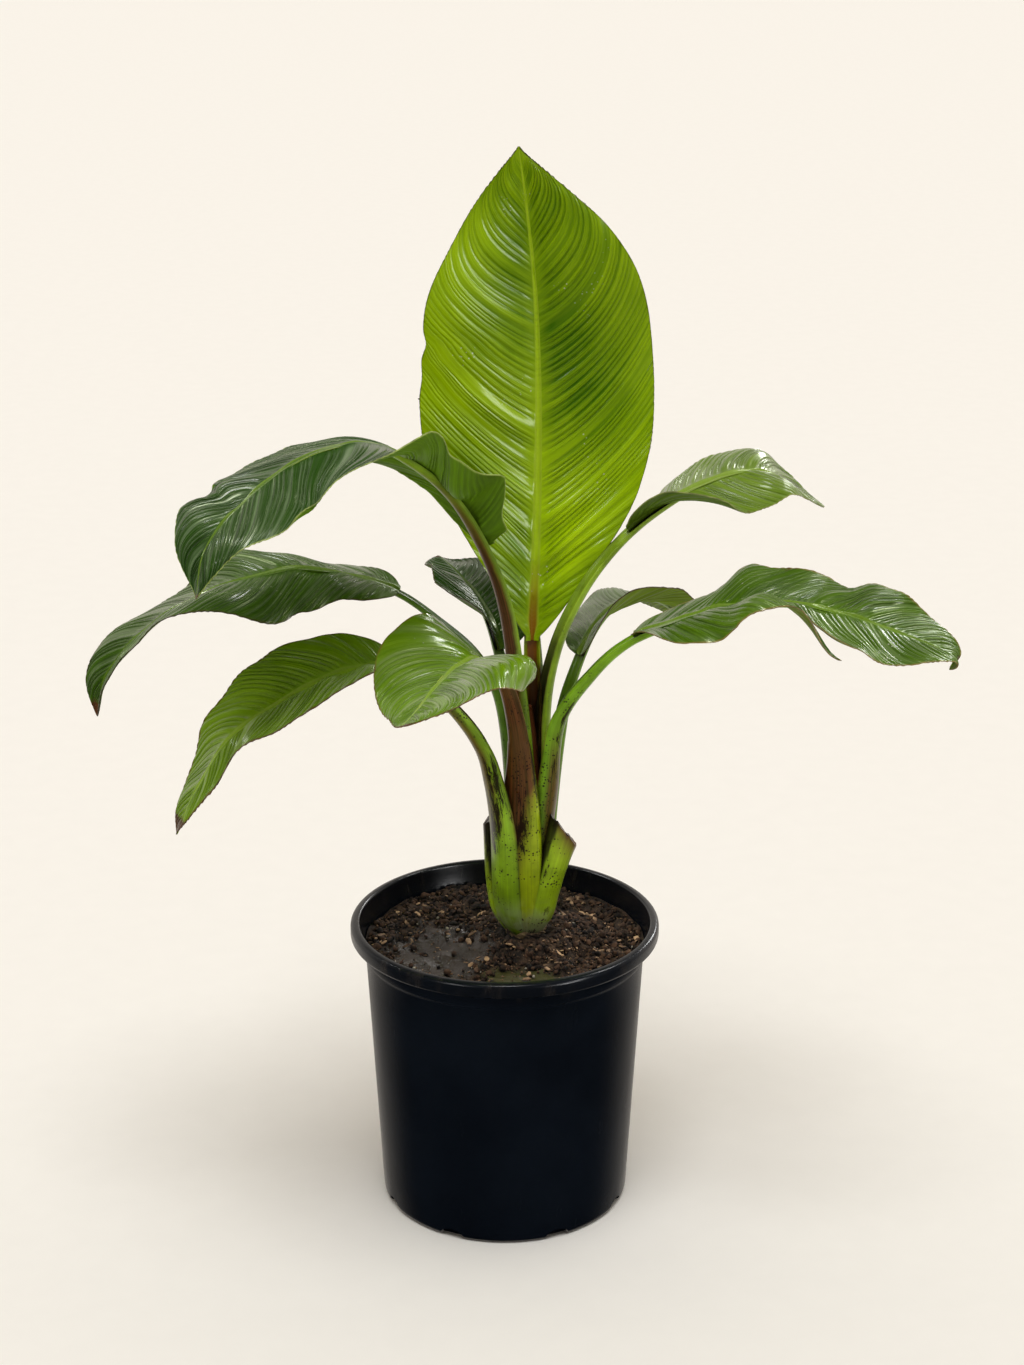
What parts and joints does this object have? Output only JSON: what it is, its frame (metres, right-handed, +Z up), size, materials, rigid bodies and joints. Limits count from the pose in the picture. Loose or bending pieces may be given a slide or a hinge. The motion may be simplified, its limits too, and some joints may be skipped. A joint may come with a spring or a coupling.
{
  "type": "potted banana plant",
  "caption": "Banana plant with broad arching leaves on a sheathed stem, growing from soil in a round black nursery pot that stands flat on the floor",
  "frame": {"origin": "centre of the pot's flat underside, on the floor", "axes": "+Z up along the plant; -Y towards the front of the plant, where the front leaf droops; +X to the plant's right as seen from the front"},
  "size_m": [0.7991, 0.4761, 1.0317],
  "materials": {
    "pot": "black injection-moulded nursery plastic, satin",
    "soil": "damp dark potting mix with bark and perlite",
    "stem": "smooth green leaf sheaths with dark streaks, waxy at the foot",
    "stub": "cut leaf sheath with a dried brown edge",
    "stalk": "smooth channelled leaf stalk, green flushed with brown",
    "oldLeaf": "dark green satin leaf with pale midrib and close side veins",
    "youngLeaf": "bright yellow-green satin leaf with pale midrib and close side veins"
  },
  "bodies": {
    "root": {"pot": "pot", "soil": "soil", "pseudostem": "stem", "leftStub": "stub", "rightStub": "stub", "centreStalk": "stalk", "centreBlade": "youngLeaf", "upperLeftStalk": "stalk", "upperLeftBlade": "oldLeaf", "midLeftStalk": "stalk", "midLeftBlade": "oldLeaf", "lowerLeftStalk": "stalk", "lowerLeftBlade": "oldLeaf", "frontStalk": "stalk", "frontBlade": "oldLeaf", "upperRightStalk": "stalk", "upperRightBlade": "oldLeaf", "rightStalk": "stalk", "rightBlade": "oldLeaf", "backRightStalk": "stalk", "backRightBlade": "oldLeaf", "backLeftStalk": "stalk", "backLeftBlade": "oldLeaf", "backStalk": "stalk", "backBlade": "oldLeaf"}
  },
  "joints": []
}
